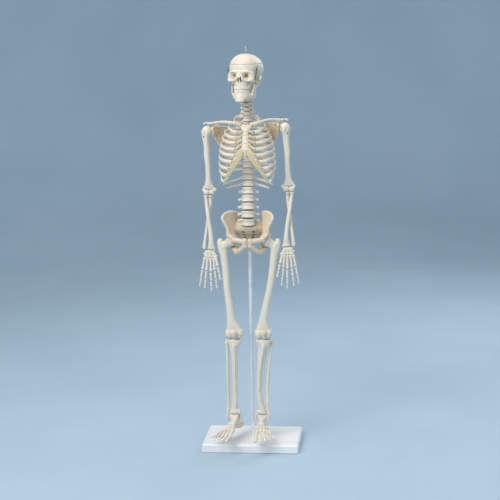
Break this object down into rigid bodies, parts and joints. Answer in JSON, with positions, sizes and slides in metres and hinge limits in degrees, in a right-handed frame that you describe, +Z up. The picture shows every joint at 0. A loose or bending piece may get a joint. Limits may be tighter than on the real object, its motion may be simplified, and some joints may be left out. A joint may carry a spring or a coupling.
{
  "type": "human skeleton model",
  "caption": "Miniature teaching skeleton in cast white plastic, standing on a rod and base plate, with lift-off skull cap, sprung jaw and swinging limbs.",
  "frame": {"origin": "centre of the base plate's underside, on the support rod's axis", "axes": "+Z up the rod, -Y the way the skeleton faces, +X its left side"},
  "size_m": [0.2082, 0.1783, 0.8304],
  "materials": {
    "bone_white": "cast, satin",
    "bone_warm": "cast, satin",
    "cap_warm": "cast, satin",
    "plate_white": "moulded, semi-gloss",
    "rod_steel": "bright",
    "core_steel": "bright",
    "spring_steel": "bright",
    "eyelet_steel": "bright"
  },
  "bodies": {
    "stand": {"base_plate": "plate_white", "support_rod": "rod_steel"},
    "torso": {"sacrum": "bone_warm", "spine_core": "core_steel", "vertebra_l1": "bone_white", "vertebra_l2": "bone_white", "vertebra_l3": "bone_white", "vertebra_l4": "bone_white", "vertebra_l5": "bone_white", "vertebra_t1": "bone_white", "vertebra_t2": "bone_white", "vertebra_t3": "bone_white", "vertebra_t4": "bone_white", "vertebra_t5": "bone_white", "vertebra_t6": "bone_white", "vertebra_t7": "bone_white", "vertebra_t8": "bone_white", "vertebra_t9": "bone_white", "vertebra_t10": "bone_white", "vertebra_t11": "bone_white", "vertebra_t12": "bone_white", "vertebra_c3": "bone_white", "vertebra_c4": "bone_white", "vertebra_c5": "bone_white", "vertebra_c6": "bone_white", "vertebra_c7": "bone_white", "atlas_and_axis": "bone_white", "sternum": "bone_warm", "rib_cage_right": "bone_white", "clavicle_right": "bone_warm", "scapula_right": "bone_warm", "hip_bone_right": "bone_warm", "rib_cage_left": "bone_white", "clavicle_left": "bone_warm", "scapula_left": "bone_warm", "hip_bone_left": "bone_warm"},
    "skull": {"cranium": "bone_warm", "jaw_spring_right": "spring_steel", "jaw_spring_left": "spring_steel"},
    "skull_cap": {"skull_cap": "cap_warm", "hanging_eyelet": "eyelet_steel"},
    "jaw": {"mandible": "bone_warm"},
    "upper_arm_right": {"humerus_right": "bone_white"},
    "forearm_right": {"ulna_right": "bone_white", "radius_right": "bone_white"},
    "hand_right": {"hand_right": "bone_white"},
    "thigh_right": {"femur_right": "bone_white", "patella_right": "bone_warm"},
    "shank_right": {"tibia_right": "bone_white", "fibula_right": "bone_white"},
    "foot_right": {"foot_right": "bone_white"},
    "upper_arm_left": {"humerus_left": "bone_white"},
    "forearm_left": {"ulna_left": "bone_white", "radius_left": "bone_white"},
    "hand_left": {"hand_left": "bone_white"},
    "thigh_left": {"femur_left": "bone_white", "patella_left": "bone_warm"},
    "shank_left": {"tibia_left": "bone_white", "fibula_left": "bone_white"},
    "foot_left": {"foot_left": "bone_white"}
  },
  "joints": [
    {"name": "torso_lift", "type": "slide", "parent": "stand", "child": "torso", "axis": [0, 0, 1], "range_m": [0, 0.05]},
    {"name": "neck_turn", "type": "hinge", "parent": "torso", "child": "skull", "pos_m": [0, -0.025, 0.755], "axis": [0, 0, 1], "range_deg": [-45, 70]},
    {"name": "cap_lift", "type": "slide", "parent": "skull", "child": "skull_cap", "axis": [0, 0, 1], "range_m": [0, 0.04]},
    {"name": "jaw_open", "type": "hinge", "parent": "skull", "child": "jaw", "pos_m": [-0.0018, -0.03279, 0.761], "axis": [0.9744, -0.225, 0], "range_deg": [0, 25], "stiffness_Nm_per_rad": 0.05, "springref_deg": -14.32, "deforming": ["jaw_spring_right", "jaw_spring_left"]},
    {"name": "shoulder_right", "type": "hinge", "parent": "torso", "child": "upper_arm_right", "pos_m": [-0.083, -0.01, 0.661], "axis": [-1, 0, 0], "range_deg": [-30, 120]},
    {"name": "elbow_right", "type": "hinge", "parent": "upper_arm_right", "child": "forearm_right", "pos_m": [-0.0825, -0.008, 0.536], "axis": [-1, 0, 0], "range_deg": [0, 100]},
    {"name": "wrist_right", "type": "hinge", "parent": "forearm_right", "child": "hand_right", "pos_m": [-0.082, -0.024, 0.415], "axis": [-1, 0, 0], "range_deg": [-30, 30]},
    {"name": "hip_right", "type": "hinge", "parent": "torso", "child": "thigh_right", "pos_m": [-0.036, -0.026, 0.437], "axis": [-1, 0, 0], "range_deg": [-10, 80]},
    {"name": "knee_right", "type": "hinge", "parent": "thigh_right", "child": "shank_right", "pos_m": [-0.033, -0.028, 0.243], "axis": [1, 0, 0], "range_deg": [0, 95]},
    {"name": "ankle_right", "type": "hinge", "parent": "shank_right", "child": "foot_right", "pos_m": [-0.0345, -0.026, 0.065], "axis": [0.9397, -0.342, 0], "range_deg": [-15, 10]},
    {"name": "shoulder_left", "type": "hinge", "parent": "torso", "child": "upper_arm_left", "pos_m": [0.075, -0.01, 0.667], "axis": [-1, 0, 0], "range_deg": [-30, 120]},
    {"name": "elbow_left", "type": "hinge", "parent": "upper_arm_left", "child": "forearm_left", "pos_m": [0.0825, -0.008, 0.542], "axis": [-1, 0, 0], "range_deg": [0, 100]},
    {"name": "wrist_left", "type": "hinge", "parent": "forearm_left", "child": "hand_left", "pos_m": [0.082, -0.024, 0.421], "axis": [-1, 0, 0], "range_deg": [-30, 30]},
    {"name": "hip_left", "type": "hinge", "parent": "torso", "child": "thigh_left", "pos_m": [0.036, -0.026, 0.437], "axis": [-1, 0, 0], "range_deg": [-10, 80]},
    {"name": "knee_left", "type": "hinge", "parent": "thigh_left", "child": "shank_left", "pos_m": [0.028, -0.028, 0.243], "axis": [1, 0, 0], "range_deg": [0, 95]},
    {"name": "ankle_left", "type": "hinge", "parent": "shank_left", "child": "foot_left", "pos_m": [0.0225, -0.026, 0.065], "axis": [0.9903, 0.1392, 0], "range_deg": [-15, 10]}
  ]
}
